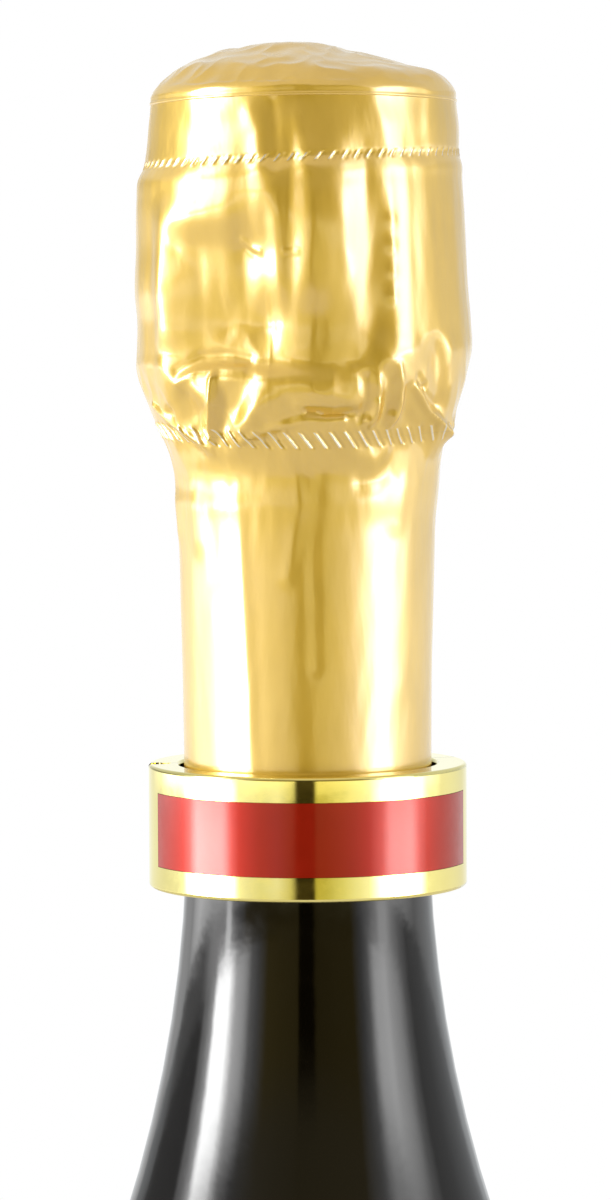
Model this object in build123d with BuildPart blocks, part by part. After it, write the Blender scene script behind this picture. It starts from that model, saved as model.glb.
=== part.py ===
"""A sealed 75 cl champagne bottle with cork, wire cage, foil and a hinged collar on the neck.

Millimetres, +Z up, origin at the centre of the base. Azimuth is measured from the front (-Y)
towards the right (+X). Every round piece shares the bottle's axis.
"""
import math
import os

from build123d import *

os.makedirs("parts", exist_ok=True)

# Glass
mouth_height = 300.0
body_radius = 45.2
shoulder_radius = 60.0
neck_flare_radius = 150.0
neck_length = 66.0
neck_radius = 13.9
glass_wall = 4.7
heel_radius = 8.0
bearing_width = 3.5
floor_thickness = 8.0
punt_height = 33.0
punt_tip_radius = 8.0
punt_wall = 6.0
punt_tip_round = 9.0
punt_edge_round = 3.0
cavity_corner_round = 2.5

# Mouth of the glass, from the lip down
bead_height = 8.0
bead_step = 0.4
groove_height = 2.0
groove_step = 0.4
band_height = 6.5
band_step = 1.7
bore_radius = 8.8
bore_length = 24.0
throat_length = 12.0
lip_outer_round = 1.6
lip_inner_round = 0.9
band_round = 1.1
groove_round = 0.3
throat_round = 3.0

# Wine
fill_depth = 63.0
wine_gap = 0.05

# Cork
cork_depth = 23.0
cork_fit = 0.05
cork_disc_height = 5.5
cork_joint_gap = 0.02
head_overhang = 0.7
head_height = 19.3
head_seat_gap = 0.05
head_crown_rise = 3.2
head_crown_inset = 1.5
head_rounds = [0, 1.5, 3.0, 2.0]
head_shares = [(0.82, 0.0), (1.0, 0.28), (1.0, 0.8)]

# Wire cage
plaque_wall = 0.4
plaque_gap = 0.25
plaque_overhang = 0.2
plaque_skirt = 1.0
wire_radius = 0.5
leg_radius = 0.75
leg_count = 4
leg_first_azimuth = 7.0
leg_bend = 1.2
leg_play = 0.4
wire_gap = 0.15
wire_seat = 0.04
top_ring_inset = 3.2
belt_drop = 2.1
belt_play = 0.65
belt_tail = 0.4

# Twisted wire loop, folded up against the glass
loop_azimuth = 52.0
loop_width = 7.6
loop_height = 9.4
loop_play = 0.4
loop_shank_radius = 0.7
loop_shank_gap = 0.3

# Foil
foil_wall = 0.2
foil_gap = 0.05
tear_gap = 0.1
hood_play = 0.35
hood_swell = 1.38
dome_radius = 35.0
dome_edge_round = 3.2
rim_drop = 2.7
upper_skirt_height = 7.4
tear_line_drop = 4.4
sleeve_tail = 2.1

# Foil outlines: shares of the swell outwards and of the height of each piece, from the top down
skirt_shares = [(0.0, 1.0), (0.12, 0.62), (0.26, 0.2), (0.3, 0.0)]
band_shares = [
    (0.791, 1.0), (0.882, 0.92), (0.913, 0.84), (0.953, 0.68), (0.99, 0.5), (1.0, 0.36),
    (0.984, 0.27), (0.903, 0.215), (0.771, 0.158), (0.633, 0.103), (0.507, 0.048), (0.396, 0.0),
]
sleeve_shares = [
    (0.385, 1.0), (0.274, 0.96), (0.193, 0.92), (0.16, 0.88), (0.152, 0.84), (0.101, 0.73),
    (0.061, 0.58), (0.026, 0.42), (0.004, 0.22), (0.0, 0.0),
]

# Collar on the neck
collar_drop = 8.0
collar_height = 14.0
collar_wall = 3.5
collar_play = 0.55
collar_edge_round = 0.4
collar_split_gap = 0.05
hinge_azimuth = -90.0
catch_azimuth = 108.0
seat_lip_height = 1.2
seat_lip_fit = 0.09
seat_lip_inset_angle = 4.0
knuckle_radius = 1.0
knuckle_inset = 0.05
gate_swing = 90.0
relief_play = 0.1
knuckle_share = 0.58
knuckle_gap = 0.1
hinge_pin_radius = 0.45
hinge_pin_fit = 0.03
hinge_pin_recess = 0.3
tongue_thickness = 1.0
tongue_height = 5.0
tongue_out = 1.8
tongue_in = 2.4
tongue_fit = 0.02
tongue_play = 0.15
enamel_left_azimuth = -69.0
enamel_right_azimuth = 76.0
enamel_rim = 2.8
enamel_depth = 0.8
enamel_gap = 0.05

# Paper labels
label_wall = 0.15
label_gap = 0.05
label_foot_share = 0.275
front_label_share = 0.63
front_label_arc = 104.0
back_label_share = 0.485
back_label_arc = 66.0

overrun = 2.0

# Heights and radii that follow from the values above
neck_foot_height = mouth_height - neck_length
flare_axis_radius = neck_radius + neck_flare_radius
shoulder_axis_radius = body_radius - shoulder_radius
shoulder_height = neck_foot_height - math.sqrt(
    (neck_flare_radius + shoulder_radius) ** 2 - (flare_axis_radius - shoulder_axis_radius) ** 2
)
bearing_inner_radius = body_radius - heel_radius - bearing_width
punt_slope = math.atan2(punt_height, bearing_inner_radius - punt_tip_radius)
throat_radius = neck_radius - glass_wall
bead_radius = neck_radius + bead_step
groove_radius = neck_radius - groove_step
band_radius = neck_radius + band_step
bead_foot = mouth_height - bead_height
band_top = bead_foot - groove_height
band_foot = band_top - band_height
band_slope = band_step
fill_height = mouth_height - fill_depth

cork_radius = bore_radius - cork_fit
cork_foot = mouth_height - cork_depth
head_radius = bead_radius + head_overhang
head_crown_radius = head_radius - head_crown_inset
head_foot = mouth_height + head_seat_gap
head_top = mouth_height + head_height
crown_foot = head_top - head_crown_rise
crown_arc_radius = (head_crown_radius**2 + head_crown_rise**2) / (2 * head_crown_rise)
crown_centre = head_top - crown_arc_radius

plaque_inner_arc = crown_arc_radius + plaque_gap
plaque_outer_arc = plaque_inner_arc + plaque_wall
plaque_radius = head_radius + plaque_overhang
plaque_edge_height = crown_centre + math.sqrt(plaque_outer_arc**2 - plaque_radius**2)
top_ring_radius = plaque_radius - top_ring_inset
top_ring_reach = plaque_outer_arc + wire_radius + wire_seat
top_ring_height = crown_centre + math.sqrt(top_ring_reach**2 - top_ring_radius**2)
leg_start_radius = top_ring_radius + wire_radius + wire_gap
leg_start_reach = plaque_outer_arc + leg_radius + wire_seat
leg_start_height = crown_centre + math.sqrt(leg_start_reach**2 - leg_start_radius**2)
belt_height = band_foot - belt_drop
belt_radius = neck_radius + belt_play + wire_radius
leg_top_radius = plaque_radius + leg_radius + wire_gap
leg_foot_radius = band_radius + leg_radius + leg_play
leg_foot_height = belt_height + belt_tail
loop_distance = band_radius + wire_radius + loop_play

hood_top_radius = leg_top_radius + leg_radius + hood_play + foil_wall
hood_waist_radius = leg_foot_radius + leg_radius + hood_swell + foil_wall
hood_rim_height = top_ring_height - rim_drop
dome_edge_radius = hood_top_radius - dome_edge_round
dome_edge_distance = math.sqrt((dome_radius - dome_edge_round) ** 2 - dome_edge_radius**2)
dome_centre = hood_rim_height - dome_edge_distance
skirt_foot = hood_rim_height - upper_skirt_height
band_foil_foot = belt_height - tear_line_drop
sleeve_foot = neck_foot_height - sleeve_tail
sleeve_radius = neck_radius + foil_gap + foil_wall

collar_foot = neck_foot_height - collar_drop
collar_top = collar_foot + collar_height
collar_bore_radius = sleeve_radius + collar_play
collar_radius = collar_bore_radius + collar_wall
hinge_pin_distance = collar_radius - knuckle_radius - knuckle_inset
collar_mid_radius = (collar_radius + collar_bore_radius) / 2
collar_low = collar_foot - overrun
collar_high = collar_top + overrun
knuckle_low = collar_foot + collar_height * (1 - knuckle_share) / 2
knuckle_high = collar_top - collar_height * (1 - knuckle_share) / 2
knuckle_foot = collar_foot + collar_edge_round
knuckle_top = collar_top - collar_edge_round
knuckle_relief = knuckle_radius / math.cos(math.radians(gate_swing / 2)) + relief_play
pin_bore_radius = hinge_pin_radius + hinge_pin_fit
enamel_foot = collar_foot + enamel_rim
enamel_height = collar_height - 2 * enamel_rim
enamel_arc = enamel_right_azimuth - enamel_left_azimuth

label_foot = label_foot_share * shoulder_height
front_label_height = front_label_share * shoulder_height
back_label_height = back_label_share * shoulder_height


def azimuth_plane(azimuth):
    """The upright half plane through the axis: local x points outwards, local y up."""
    a = math.radians(azimuth)
    return Plane((0, 0, 0), x_dir=(math.sin(a), -math.cos(a), 0), z_dir=(-math.cos(a), -math.sin(a), 0))


def outward(azimuth, distance, height=0.0):
    """The point at a distance from the axis, in the direction of an azimuth."""
    a = math.radians(azimuth)
    return Vector(distance * math.sin(a), -distance * math.cos(a), height)


def between(low, high, share):
    return low + (high - low) * share


def neck_flare(height):
    """The outer radius of the flaring neck at a height below its foot."""
    return flare_axis_radius - math.sqrt(neck_flare_radius**2 - (neck_foot_height - height) ** 2)


def flare_joint(inset):
    """Where the shoulder's arc meets the flare of the neck, on a wall moved in by inset."""
    reach = (neck_flare_radius + inset) / (neck_flare_radius + shoulder_radius)
    return (
        between(flare_axis_radius, shoulder_axis_radius, reach),
        between(neck_foot_height, shoulder_height, reach),
    )


def draw_side(inset, foot):
    """Neck flare, shoulder and straight body, from the neck's foot down to a height."""
    joint = flare_joint(inset)
    neck = (neck_radius - inset, neck_foot_height)
    body = (body_radius - inset, shoulder_height)
    TangentArc(neck, joint, tangent=(0, -1))
    TangentArc(body, joint, tangent=(0, 1))
    Line(body, (body_radius - inset, foot))


def draw_cavity(inset, lift):
    """The inside of the body from the neck's foot to the top of the punt."""
    floor = floor_thickness + lift
    punt_inset = (punt_wall + lift) / math.sin(punt_slope)
    floor_inner = bearing_inner_radius + punt_inset - floor / math.tan(punt_slope)
    tip_height = punt_height + punt_wall + lift
    tip_radius = bearing_inner_radius + punt_inset - tip_height / math.tan(punt_slope)
    wall = body_radius - inset
    start = floor + heel_radius
    draw_side(inset, start)
    FilletPolyline(
        (wall, start),
        (wall, floor),
        (floor_inner, floor),
        (tip_radius, tip_height),
        (0, tip_height),
        radius=[cavity_corner_round, cavity_corner_round, punt_tip_round],
    )
    return (0, tip_height)


def bottle_glass():
    """Body, neck and mouth as one revolved wall with a deep punt."""
    with BuildPart() as piece:
        with BuildSketch(Plane.XZ):
            with BuildLine():
                draw_side(0, heel_radius)
                heel_end = (body_radius - heel_radius, 0)
                TangentArc((body_radius, heel_radius), heel_end, tangent=(0, -1))
                FilletPolyline(
                    heel_end,
                    (bearing_inner_radius, 0),
                    (punt_tip_radius, punt_height),
                    (0, punt_height),
                    radius=[punt_edge_round, punt_tip_round],
                )
                cavity_top = draw_cavity(glass_wall, 0)
                Line((0, punt_height), cavity_top)
                FilletPolyline(
                    (neck_radius, neck_foot_height),
                    (neck_radius, band_foot - band_slope),
                    (band_radius, band_foot),
                    (band_radius, band_top),
                    (groove_radius, band_top + groove_round),
                    (groove_radius, bead_foot - groove_round),
                    (bead_radius, bead_foot),
                    (bead_radius, mouth_height),
                    (bore_radius, mouth_height),
                    (bore_radius, mouth_height - bore_length),
                    (throat_radius, mouth_height - bore_length - throat_length),
                    (throat_radius, neck_foot_height),
                    radius=[
                        band_round, band_round, band_round, groove_round, groove_round,
                        groove_round, lip_outer_round, lip_inner_round, throat_round, throat_round,
                    ],
                )
            make_face()
        revolve(axis=Axis.Z)
    return piece


def wine():
    """The wine, filled to its level in the neck."""
    inset = glass_wall + wine_gap
    with BuildPart() as piece:
        with BuildSketch(Plane.XZ):
            with BuildLine():
                cavity_top = draw_cavity(inset, wine_gap)
                Polyline(
                    (neck_radius - inset, neck_foot_height),
                    (neck_radius - inset, fill_height),
                    (0, fill_height),
                    cavity_top,
                )
            make_face()
        revolve(axis=Axis.Z)
    return piece


def label(azimuth, arc, height):
    """A paper label that wraps part of the body."""
    with BuildPart() as piece:
        with BuildSketch(azimuth_plane(azimuth - arc / 2)):
            with Locations((body_radius + label_gap, label_foot)):
                Rectangle(label_wall, height, align=(Align.MIN, Align.MIN))
        revolve(axis=Axis.Z, revolution_arc=arc)
    return piece


def cork_body():
    """The pressed part of the cork with its mushroom head."""
    foot = cork_foot + 2 * cork_disc_height
    with BuildPart() as piece:
        with BuildSketch(Plane.XZ):
            with BuildLine():
                Polyline((head_crown_radius, crown_foot), (0, crown_foot), (0, foot), (cork_radius, foot))
                FilletPolyline(
                    (cork_radius, foot),
                    (cork_radius, head_foot),
                    *[(head_radius * r, between(head_foot, crown_foot, z)) for r, z in head_shares],
                    (head_crown_radius, crown_foot),
                    radius=head_rounds,
                )
            make_face()
        revolve(axis=Axis.Z)
        with BuildSketch(Plane.XZ):
            with BuildLine():
                TangentArc((0, head_top), (head_crown_radius, crown_foot), tangent=(1, 0))
                Polyline((head_crown_radius, crown_foot), (0, crown_foot), (0, head_top))
            make_face()
        revolve(axis=Axis.Z)
    return piece


def cork_disc(position):
    """One of the two natural cork discs at the wine end, counted from the bottom."""
    with BuildPart() as piece:
        with BuildSketch(Plane.XY.offset(cork_foot + position * cork_disc_height)):
            Circle(cork_radius)
        extrude(amount=cork_disc_height - cork_joint_gap)
    return piece


def cage_plaque():
    """The thin metal cap that spreads the wires' pull over the cork's crown."""
    inner_radius = plaque_radius - plaque_wall
    inner_edge = crown_centre + math.sqrt(plaque_inner_arc**2 - inner_radius**2)
    outer_top = (0, crown_centre + plaque_outer_arc)
    inner_top = (0, crown_centre + plaque_inner_arc)
    with BuildPart() as piece:
        with BuildSketch(Plane.XZ):
            with BuildLine():
                TangentArc(outer_top, (plaque_radius, plaque_edge_height), tangent=(1, 0))
                Polyline(
                    (plaque_radius, plaque_edge_height),
                    (plaque_radius, plaque_edge_height - plaque_skirt),
                    (inner_radius, plaque_edge_height - plaque_skirt),
                    (inner_radius, inner_edge),
                )
                TangentArc(inner_top, (inner_radius, inner_edge), tangent=(1, 0))
                Line(inner_top, outer_top)
            make_face()
        revolve(axis=Axis.Z)
    return piece


def wire_ring(radius, height):
    """A closed ring of wire round the axis."""
    with BuildPart() as piece:
        with BuildSketch(Plane.XZ):
            with Locations((radius, height)):
                Circle(wire_radius)
        revolve(axis=Axis.Z)
    return piece


def cage_leg(azimuth):
    """One twisted leg: out over the plaque's rim, then down beside the glass to the belt."""
    with BuildPart() as piece:
        with BuildLine(azimuth_plane(azimuth)) as path:
            FilletPolyline(
                (leg_start_radius, leg_start_height),
                (leg_top_radius, plaque_edge_height + leg_radius),
                (leg_foot_radius, leg_foot_height),
                radius=leg_bend,
            )
        with BuildSketch(Plane(origin=path.line @ 0, z_dir=path.line % 0)):
            Circle(leg_radius)
        sweep()
    return piece


def cage_loop():
    """The twisted loop that opens the cage, with its shank towards the belt."""
    half_width = loop_width / 2 - wire_radius
    low = half_width
    high = loop_height - 2 * wire_radius - half_width
    out = outward(loop_azimuth, 1)
    upright = Plane(
        origin=outward(loop_azimuth, loop_distance, belt_height), x_dir=out.cross(Vector(0, 0, -1)), z_dir=out
    )
    shank_start = belt_radius + wire_radius + loop_shank_gap
    with BuildPart() as piece:
        with BuildLine(upright) as path:
            Line((half_width, low), (half_width, high))
            CenterArc((0, high), half_width, 0, 180)
            Line((-half_width, high), (-half_width, low))
            CenterArc((0, low), half_width, 180, 180)
        with BuildSketch(Plane(origin=path.line @ 0, z_dir=path.line % 0)):
            Circle(wire_radius)
        sweep()
        with BuildSketch(Plane(origin=outward(loop_azimuth, shank_start, belt_height), z_dir=out)):
            Circle(loop_shank_radius)
        extrude(amount=loop_distance - shank_start)
    return piece


def foil_outline(points):
    """A thin wall through the given outer points, closed at both ends."""
    inner = [(r - foil_wall, z) for r, z in points]
    Spline(*points)
    Spline(*inner)
    Line(points[0], inner[0])
    Line(points[-1], inner[-1])


def foil_top_disc():
    """The domed top of the foil, down to its rim seam."""
    with BuildPart() as piece:
        with BuildSketch(Plane.XZ):
            with BuildLine():
                for wall in (0, foil_wall):
                    reach = (dome_radius - wall) / (dome_radius - dome_edge_round)
                    top = (0, dome_centre + dome_radius - wall)
                    knee = (dome_edge_radius * reach, dome_centre + dome_edge_distance * reach)
                    rim = (hood_top_radius - wall, hood_rim_height)
                    TangentArc(top, knee, tangent=(1, 0))
                    TangentArc(rim, knee, tangent=(0, 1))
                Line((0, dome_centre + dome_radius), (0, dome_centre + dome_radius - foil_wall))
                Line((hood_top_radius, hood_rim_height), (hood_top_radius - foil_wall, hood_rim_height))
            make_face()
        revolve(axis=Axis.Z)
    return piece


def foil_upper_skirt():
    """The smooth skirt between the rim seam and the upper perforation."""
    top = hood_rim_height - foil_gap
    points = [
        (between(hood_top_radius, hood_waist_radius, r), between(skirt_foot, top, z)) for r, z in skirt_shares
    ]
    with BuildPart() as piece:
        with BuildSketch(Plane.XZ):
            with BuildLine():
                foil_outline(points)
            make_face()
        revolve(axis=Axis.Z)
    return piece


def foil_tear_band():
    """The bulged band between the two perforations, drawn in over the cage's belt."""
    top = skirt_foot - tear_gap
    points = [
        (between(sleeve_radius, hood_waist_radius, r), between(band_foil_foot, top, z))
        for r, z in band_shares
    ]
    with BuildPart() as piece:
        with BuildSketch(Plane.XZ):
            with BuildLine():
                foil_outline(points)
            make_face()
        revolve(axis=Axis.Z)
    return piece


def foil_sleeve():
    """The foil that stays on the neck, down into the collar."""
    top = band_foil_foot - tear_gap
    points = [
        (between(sleeve_radius, hood_waist_radius, r), between(sleeve_foot, top, z))
        for r, z in sleeve_shares
    ]
    with BuildPart() as piece:
        with BuildSketch(Plane.XZ):
            with BuildLine():
                foil_outline(points)
            make_face()
        revolve(axis=Axis.Z)
    return piece


def collar_sector(start, end):
    """The collar's rounded rectangular section, revolved between two azimuths less the split gap."""
    gap = math.degrees(collar_split_gap / collar_mid_radius)
    with BuildSketch(azimuth_plane(start + gap)) as section:
        with Locations((collar_bore_radius, collar_foot)):
            Rectangle(collar_radius - collar_bore_radius, collar_height, align=(Align.MIN, Align.MIN))
        fillet(section.vertices(), radius=collar_edge_round)
    return revolve(section.sketch, axis=Axis.Z, revolution_arc=end - start - 2 * gap)


def pin_cylinder(radius, low, high, mode):
    """An upright cylinder on the hinge pin's axis."""
    with BuildSketch(Plane(origin=outward(hinge_azimuth, hinge_pin_distance, low))) as disc:
        Circle(radius)
    extrude(disc.sketch, amount=high - low, mode=mode)


def tongue_box(play, out, inner):
    """The catch tongue's block, standing across the split and square to the pin's line."""
    centre = outward(catch_azimuth, collar_mid_radius, collar_foot + collar_height / 2)
    pin = outward(hinge_azimuth, hinge_pin_distance, centre.Z)
    along = (centre - pin).normalized()
    swing = Plane(origin=centre, x_dir=along, z_dir=along.cross(Vector(0, 0, 1)))
    with BuildSketch(swing.offset(-inner)) as section:
        Rectangle(tongue_thickness + 2 * play, tongue_height + 2 * play)
    return section.sketch, inner + out


def collar_front():
    """The swinging half of the collar, with the enamel's recess and the middle knuckle."""
    with BuildPart() as piece:
        collar_sector(hinge_azimuth, catch_azimuth)
        pin_cylinder(knuckle_relief, collar_low, knuckle_low, Mode.SUBTRACT)
        pin_cylinder(knuckle_relief, knuckle_high, collar_high, Mode.SUBTRACT)
        pin_cylinder(knuckle_radius, knuckle_low, knuckle_high, Mode.ADD)
        pin_cylinder(pin_bore_radius, collar_low, collar_high, Mode.SUBTRACT)
        with BuildSketch(azimuth_plane(enamel_left_azimuth)) as recess:
            with Locations((collar_radius - enamel_depth - enamel_gap, enamel_foot)):
                Rectangle(enamel_depth + overrun, enamel_height, align=(Align.MIN, Align.MIN))
        revolve(recess.sketch, axis=Axis.Z, revolution_arc=enamel_arc, mode=Mode.SUBTRACT)
        block, length = tongue_box(tongue_play, tongue_out + tongue_play, overrun)
        extrude(block, amount=length, mode=Mode.SUBTRACT)
    return piece


def collar_back():
    """The collar's fixed half, with the outer knuckles and the lip that seats on the neck's flare."""
    turn = 360 + hinge_azimuth
    lip_radius = neck_flare(collar_foot) + seat_lip_fit
    lip_reach = collar_bore_radius - lip_radius + collar_edge_round
    with BuildPart() as piece:
        collar_sector(catch_azimuth, turn)
        with BuildSketch(azimuth_plane(catch_azimuth + seat_lip_inset_angle)) as lip:
            with Locations((lip_radius, collar_foot)):
                Rectangle(lip_reach, seat_lip_height, align=(Align.MIN, Align.MIN))
        revolve(lip.sketch, axis=Axis.Z, revolution_arc=turn - catch_azimuth - 2 * seat_lip_inset_angle)
        pin_cylinder(knuckle_relief, knuckle_low - knuckle_gap, knuckle_high + knuckle_gap, Mode.SUBTRACT)
        pin_cylinder(knuckle_radius, knuckle_foot, knuckle_low - knuckle_gap, Mode.ADD)
        pin_cylinder(knuckle_radius, knuckle_high + knuckle_gap, knuckle_top, Mode.ADD)
        pin_cylinder(pin_bore_radius, collar_low, collar_high, Mode.SUBTRACT)
        block, length = tongue_box(tongue_fit, overrun, tongue_in + tongue_fit)
        extrude(block, amount=length, mode=Mode.SUBTRACT)
    return piece


def collar_hinge_pin():
    """The upright pin through all three knuckles."""
    low = collar_foot + hinge_pin_recess
    high = collar_top - hinge_pin_recess
    with BuildPart() as piece:
        pin_cylinder(hinge_pin_radius, low, high, Mode.ADD)
    return piece


def collar_catch():
    """The snap tongue that sticks out of the fixed half into the swinging one."""
    with BuildPart() as piece:
        block, length = tongue_box(0, tongue_out, tongue_in)
        extrude(block, amount=length)
    return piece


def enamel_panel():
    """The enamel that fills the recess in the collar's front."""
    margin = math.degrees(enamel_gap / collar_radius)
    with BuildPart() as piece:
        with BuildSketch(azimuth_plane(enamel_left_azimuth + margin)):
            with Locations((collar_radius - enamel_depth, enamel_foot + enamel_gap)):
                Rectangle(enamel_depth, enamel_height - 2 * enamel_gap, align=(Align.MIN, Align.MIN))
        revolve(axis=Axis.Z, revolution_arc=enamel_arc - 2 * margin)
    return piece


pieces = {
    "bottle_glass": bottle_glass(),
    "wine": wine(),
    "front_label": label(0, front_label_arc, front_label_height),
    "back_label": label(180, back_label_arc, back_label_height),
    "cork_body": cork_body(),
    "cork_disc_upper": cork_disc(1),
    "cork_disc_lower": cork_disc(0),
    "cage_plaque": cage_plaque(),
    "cage_top_ring": wire_ring(top_ring_radius, top_ring_height),
    "cage_belt": wire_ring(belt_radius, belt_height),
    "cage_loop": cage_loop(),
    "foil_top_disc": foil_top_disc(),
    "foil_upper_skirt": foil_upper_skirt(),
    "foil_tear_band": foil_tear_band(),
    "foil_sleeve": foil_sleeve(),
    "collar_front": collar_front(),
    "collar_back": collar_back(),
    "collar_hinge_pin": collar_hinge_pin(),
    "collar_catch": collar_catch(),
    "enamel_panel": enamel_panel(),
}
for number in range(leg_count):
    pieces[f"cage_leg_{number + 1}"] = cage_leg(leg_first_azimuth + number * 360 / leg_count)

for name, piece in pieces.items():
    piece.part.label = name
    export_step(piece.part, f"parts/{name}.step")
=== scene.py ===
import math

import bpy
import numpy as np
from mathutils import Matrix, Vector
from mathutils.geometry import delaunay_2d_cdt


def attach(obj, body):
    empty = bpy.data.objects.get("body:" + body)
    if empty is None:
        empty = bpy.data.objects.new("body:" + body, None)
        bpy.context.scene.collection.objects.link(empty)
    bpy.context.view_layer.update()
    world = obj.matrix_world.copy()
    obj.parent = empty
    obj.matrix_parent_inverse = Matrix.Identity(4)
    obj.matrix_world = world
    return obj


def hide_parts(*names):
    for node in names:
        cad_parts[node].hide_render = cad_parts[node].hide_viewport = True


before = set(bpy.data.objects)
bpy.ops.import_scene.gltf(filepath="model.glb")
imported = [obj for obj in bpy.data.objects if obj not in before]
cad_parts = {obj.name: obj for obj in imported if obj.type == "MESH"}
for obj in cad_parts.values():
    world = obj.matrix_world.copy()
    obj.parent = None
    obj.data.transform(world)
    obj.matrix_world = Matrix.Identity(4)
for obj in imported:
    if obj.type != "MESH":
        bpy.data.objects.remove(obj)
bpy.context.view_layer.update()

MM = 0.001

# ---------------------------------------------------------------- foil: where it lies
# All foil tables are in millimetres and in degrees of azimuth, from the front towards the right. They are
# brought together in a map of the foil's outer radius: rows by height, columns all round.
COLUMNS = 720
MAP_LOW, MAP_HIGH, MAP_STEP = 231.0, 317.0, 0.125
MM_PER_DEGREE = 0.31  # along the foil's surface

SIDE_TABLE = np.array([  # height, radius at the left, radius at the right
    (231.0, 14.12, 14.16), (236.0, 14.12, 14.16), (242.7, 14.14, 14.18), (251.2, 14.25, 14.27),
    (258.0, 14.40, 14.46), (264.8, 14.55, 14.65), (268.3, 14.75, 14.78), (270.0, 14.86, 14.97),
    (271.7, 14.80, 15.15), (273.4, 14.94, 15.26), (275.1, 15.45, 15.48), (276.8, 16.15, 15.75),
    (278.5, 16.90, 16.45), (280.2, 17.60, 17.00), (281.9, 18.30, 17.65), (283.6, 18.95, 18.20),
    (285.3, 19.28, 18.60), (287.0, 19.22, 18.95), (290.4, 19.16, 18.88), (293.8, 19.44, 18.60),
    (298.9, 19.28, 18.36), (304.0, 19.20, 18.10), (305.8, 19.05, 17.97), (307.4, 18.46, 17.84),
    (309.2, 18.06, 17.62), (312.6, 17.70, 17.55), (315.4, 17.52, 17.35), (317.0, 17.50, 17.30),
])
DOME_TABLE = np.array([  # height, reach to the left, reach to the right
    (321.92, 0.0, 0.0), (321.86, 4.2, 0.9), (321.66, 7.0, 2.3), (321.09, 9.2, 4.6), (320.52, 10.8, 7.5),
    (319.95, 12.35, 10.1), (319.39, 13.7, 12.1), (318.82, 14.7, 14.3), (318.25, 15.4, 15.6),
    (317.68, 16.1, 16.3), (317.11, 16.75, 16.75), (316.55, 17.15, 17.05), (315.98, 17.45, 17.3),
    (315.62, 17.62, 17.45),
])


def hermite(x, xs, ys):
    """A smooth curve through a table."""
    xs, ys, x = np.asarray(xs, float), np.asarray(ys, float), np.asarray(x, float)
    secant = np.diff(ys) / np.diff(xs)
    slope = np.empty_like(ys)
    slope[1:-1] = (secant[1:] * np.diff(xs)[:-1] + secant[:-1] * np.diff(xs)[1:]) / (xs[2:] - xs[:-2])
    slope[0], slope[-1] = secant[0], secant[-1]
    k = np.clip(np.searchsorted(xs, x) - 1, 0, len(xs) - 2)
    h = xs[k + 1] - xs[k]
    t = np.clip((x - xs[k]) / h, 0, 1)
    return ((2 * t**3 - 3 * t**2 + 1) * ys[k] + (t**3 - 2 * t**2 + t) * h * slope[k]
            + (3 * t**2 - 2 * t**3) * ys[k + 1] + (t**3 - t**2) * h * slope[k + 1])


def smooth(x, low, high):
    """0 up to low, 1 from high on, and an even rise between them."""
    t = np.clip((x - low) / (high - low), 0, 1)
    return t * t * (3 - 2 * t)


def window(x, rise, fall):
    """1 between two limits, each given as the range of its soft edge."""
    return smooth(x, *rise) * (1 - smooth(x, *fall))


def bump(x, width):
    """A soft bell round 0."""
    return np.exp(-((x / width) ** 2))


def wrap(degrees):
    """The same direction between -180 and 180 degrees."""
    return (np.asarray(degrees) + 180) % 360 - 180


def blur(field, times):
    """A field over the map made softer; it closes round the axis."""
    for _ in range(times):
        field = (np.roll(field, 1, 1) + 2 * field + np.roll(field, -1, 1)) / 4
        up = np.vstack([field[:1], field[:-1]])
        down = np.vstack([field[1:], field[-1:]])
        field = (up + 2 * field + down) / 4
    return field


# The two perforations: cuts round the foil, half their height, slant, and the line's mean height and rise
UPPER_CUTS, UPPER_REACH, UPPER_SLANT, UPPER_HEIGHT, UPPER_RISE = 76, 0.42, 0.75, 308.75, 0.7
LOWER_CUTS, LOWER_REACH, LOWER_SLANT, LOWER_HEIGHT, LOWER_RISE = 62, 0.92, -0.75, 277.35, 0.8
RIM_HEIGHT, RIM_RISE, RIM_TILT = 315.20, 0.50, 0.12


def upper_line(az):
    """The height of the upper perforation."""
    return UPPER_HEIGHT + UPPER_RISE * np.sin(np.radians(az))


def lower_line(az):
    """The height of the lower perforation."""
    return LOWER_HEIGHT + LOWER_RISE * np.sin(np.radians(az)) ** 2


def rim_line(az):
    """The height of the seam round the top disc."""
    return RIM_HEIGHT + RIM_RISE * np.cos(np.radians(az)) ** 2 + RIM_TILT * np.sin(np.radians(az))


map_z = np.arange(MAP_LOW, MAP_HIGH + MAP_STEP / 2, MAP_STEP)
map_az = np.degrees(np.linspace(-math.pi, math.pi, COLUMNS, endpoint=False))
AZ, Z = np.meshgrid(map_az, map_z)


def waves(count, around, upright, seed):
    """Smooth seeded noise that closes round the axis: ranges of waves around, and per millimetre upwards."""
    draw = np.random.default_rng(seed)
    out = np.zeros_like(AZ)
    a = np.radians(AZ)
    for _ in range(count):
        m = draw.integers(around[0], around[1] + 1)
        k = draw.uniform(upright[0], upright[1]) * draw.choice((-1, 1))
        out += np.cos(m * a + 2 * math.pi * (k * Z + draw.uniform()))
    return out / math.sqrt(count)


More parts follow.
